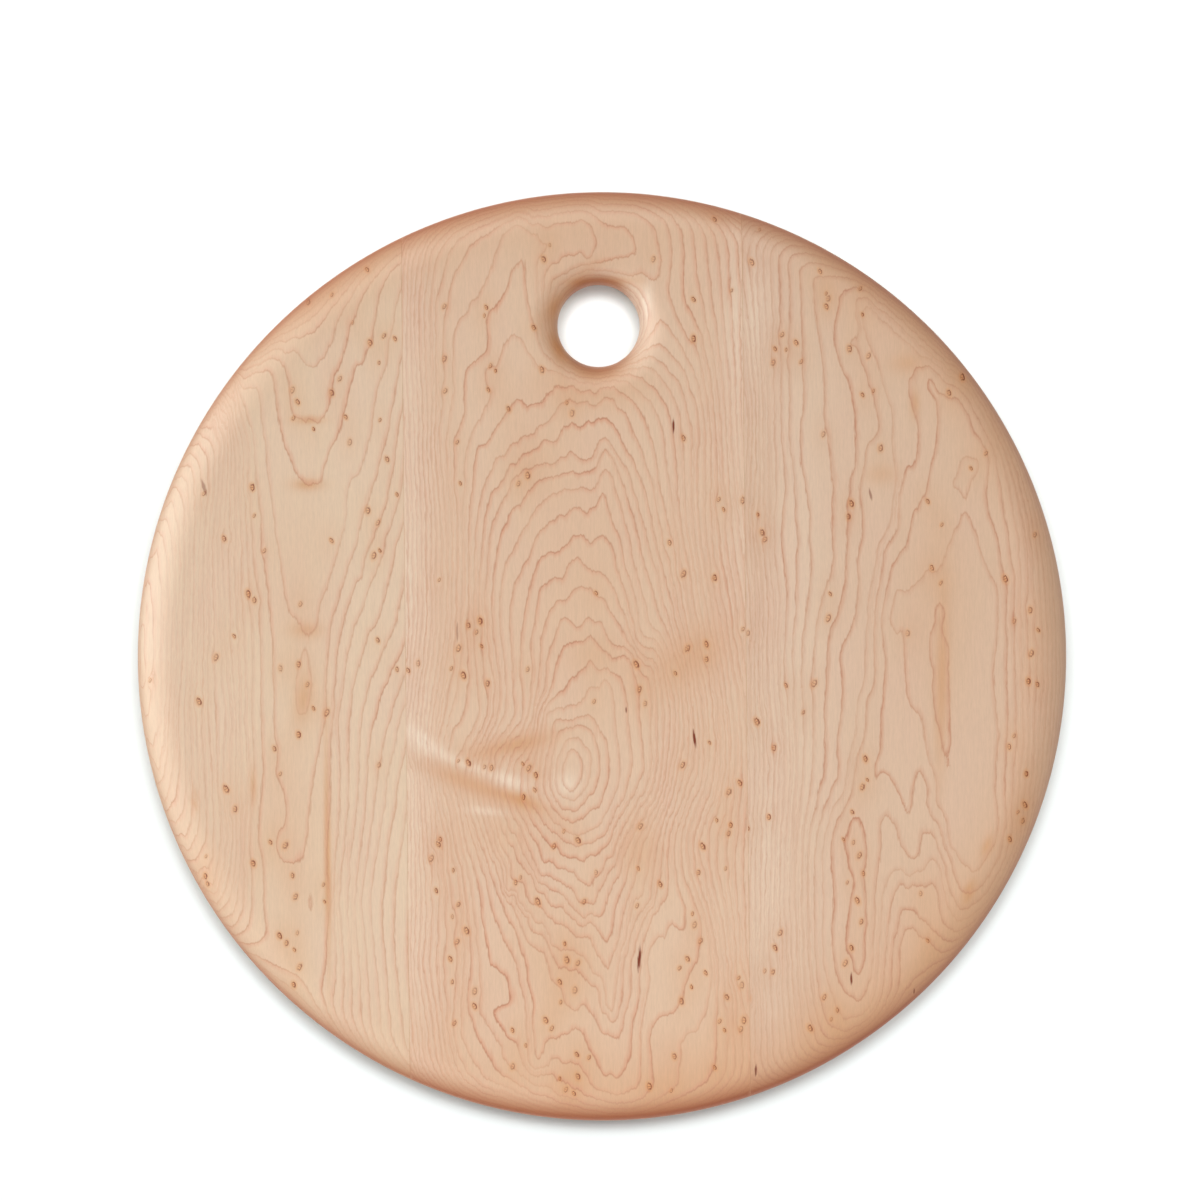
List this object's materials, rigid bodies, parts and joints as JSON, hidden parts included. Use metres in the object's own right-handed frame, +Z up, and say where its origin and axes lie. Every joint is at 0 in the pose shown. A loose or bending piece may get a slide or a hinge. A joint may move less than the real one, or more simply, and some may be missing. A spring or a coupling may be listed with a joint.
{
  "type": "round bread board",
  "caption": "Round bread and cutting board edge-glued from pale figured maple staves, with a soft rolled edge and a flared finger hole near the rim for lifting and hanging",
  "frame": {"origin": "centre of the round underside, on the table", "axes": "+Z up, square to the faces; +Y along the grain, from the centre towards the finger hole; +X to the right, across the staves"},
  "size_m": [0.356, 0.356, 0.019],
  "materials": {
    "maple_left": "oiled satin",
    "maple_middle": "oiled satin",
    "maple_right": "oiled satin",
    "dried_glue": "clear amber film"
  },
  "bodies": {
    "root": {"stave_left": "maple_left", "stave_middle": "maple_middle", "stave_right": "maple_right", "glue_line_left": "dried_glue", "glue_line_right": "dried_glue"}
  },
  "joints": []
}
